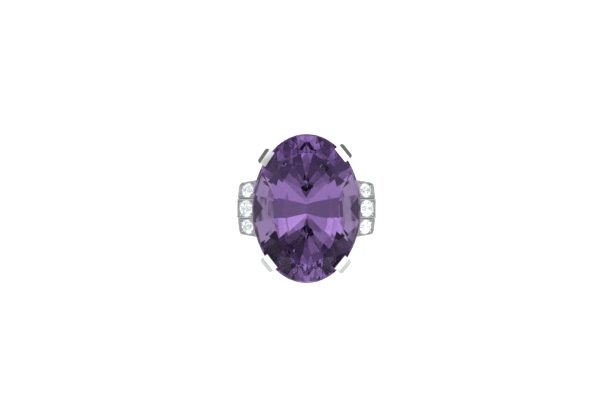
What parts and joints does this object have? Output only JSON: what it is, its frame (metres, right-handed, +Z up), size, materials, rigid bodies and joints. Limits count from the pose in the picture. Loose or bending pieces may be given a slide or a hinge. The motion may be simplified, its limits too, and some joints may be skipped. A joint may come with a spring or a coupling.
{
  "type": "cocktail ring",
  "caption": "Cocktail ring: a large faceted oval purple stone in plate claws, with small white stones in box settings on both shoulders and a tapering shank",
  "frame": {"origin": "centre of the finger hole, on its axis, at the middle of the ring's width", "axes": "+Y along the finger hole and the long axis of the big stone, +Z up through the stone's table, +X across the shoulders"},
  "size_m": [0.0208, 0.022, 0.0308],
  "materials": {
    "white_metal": "polished white precious metal",
    "amethyst": "polished transparent purple quartz",
    "diamond": "polished colourless brilliant"
  },
  "bodies": {
    "root": {"amethyst": "amethyst", "arm_left": "white_metal", "arm_right": "white_metal", "base_collet": "white_metal", "bridge": "white_metal", "brilliant_left_back": "diamond", "brilliant_left_front": "diamond", "brilliant_left_middle": "diamond", "brilliant_right_back": "diamond", "brilliant_right_front": "diamond", "brilliant_right_middle": "diamond", "claw_left_back": "white_metal", "claw_left_front": "white_metal", "claw_right_back": "white_metal", "claw_right_front": "white_metal", "setting_left_back": "white_metal", "setting_left_front": "white_metal", "setting_left_middle": "white_metal", "setting_right_back": "white_metal", "setting_right_front": "white_metal", "setting_right_middle": "white_metal", "shank": "white_metal", "upper_rail": "white_metal"}
  },
  "joints": []
}
